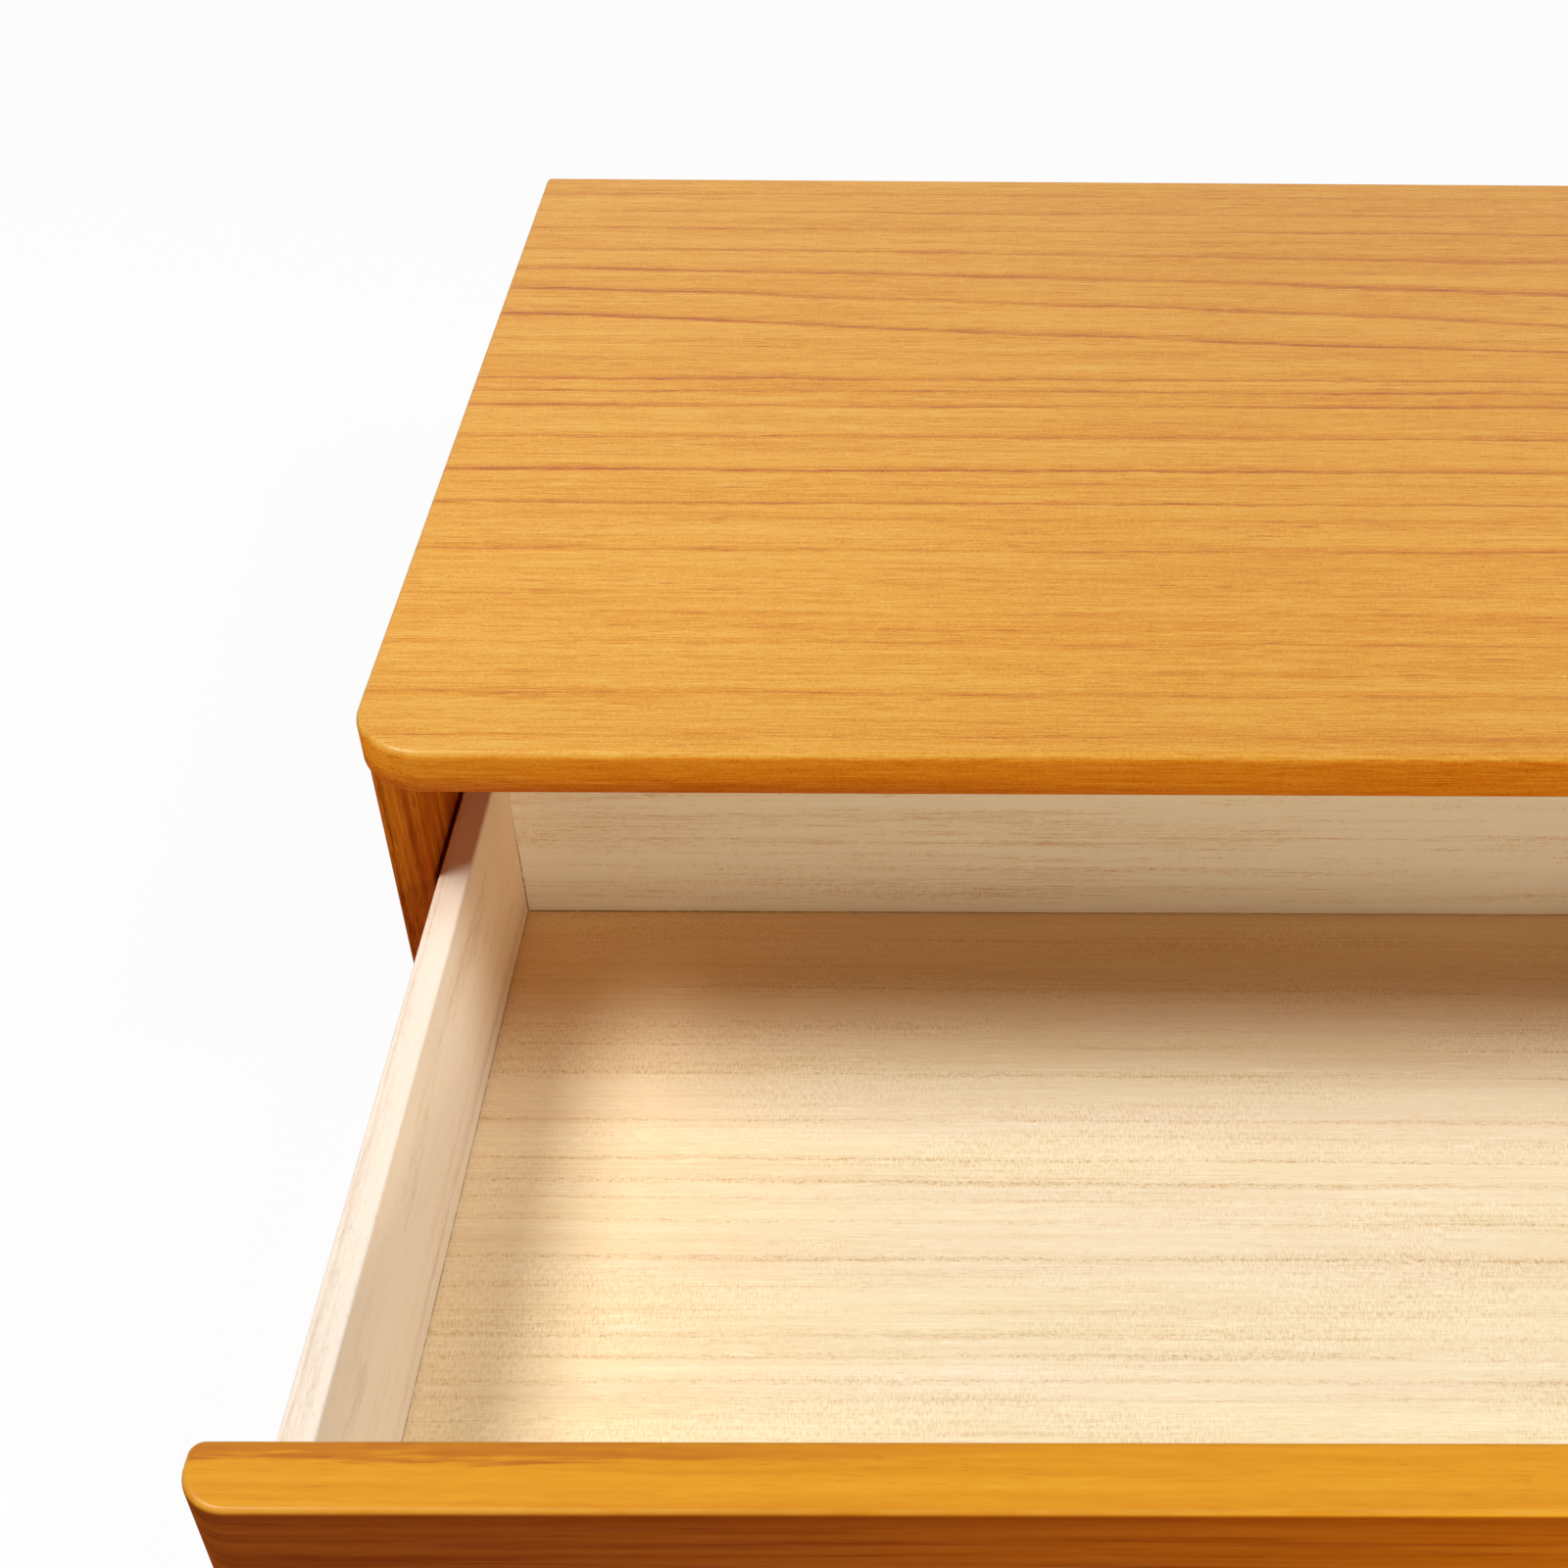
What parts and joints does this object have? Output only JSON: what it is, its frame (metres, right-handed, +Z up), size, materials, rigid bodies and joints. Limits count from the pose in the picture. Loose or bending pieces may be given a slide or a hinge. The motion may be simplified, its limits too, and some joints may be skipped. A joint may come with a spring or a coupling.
{
  "type": "desktop drawer unit",
  "caption": "Low wooden desktop case with an overhanging round-cornered top and a full-width drawer, shown open, on side runners.",
  "frame": {"origin": "on the desk, under the middle of the top board, in the underside of the bottom panel", "axes": "+X to the right as seen from the front, +Y to the back, +Z up; the drawer opens towards -Y"},
  "size_m": [0.48, 0.488, 0.13],
  "materials": {
    "lacquered_top": "honey lacquer, satin",
    "lacquered_panel": "honey lacquer, satin",
    "lacquered_front": "honey lacquer, satin",
    "bare_pale_wood": "bare, sanded",
    "pale_veneer": "bare veneer",
    "back_plywood": "bare plywood",
    "runner_hardwood": "bare, waxed",
    "dowel_wood": "bare",
    "screw_steel": "zinc plated"
  },
  "bodies": {
    "case": {"top_board": "lacquered_top", "left_side_panel": "lacquered_panel", "right_side_panel": "lacquered_panel", "bottom_panel": "lacquered_panel", "back_panel": "back_plywood", "rear_rail": "bare_pale_wood", "left_runner": "runner_hardwood", "right_runner": "runner_hardwood", "runner_screws": "screw_steel", "top_dowels": "dowel_wood", "bottom_dowels": "dowel_wood", "rail_dowels": "dowel_wood", "back_panel_nails": "screw_steel", "left_stop_block": "bare_pale_wood", "right_stop_block": "bare_pale_wood"},
    "drawer": {"drawer_front": "lacquered_front", "drawer_inner_front": "bare_pale_wood", "drawer_left_side": "bare_pale_wood", "drawer_right_side": "bare_pale_wood", "drawer_back": "bare_pale_wood", "drawer_bottom": "pale_veneer", "drawer_front_screws": "screw_steel", "drawer_corner_pins": "dowel_wood"}
  },
  "joints": [
    {"name": "drawer_slide", "type": "slide", "parent": "case", "child": "drawer", "axis": [0, -1, 0], "range_m": [-0.178, 0.022]}
  ]
}
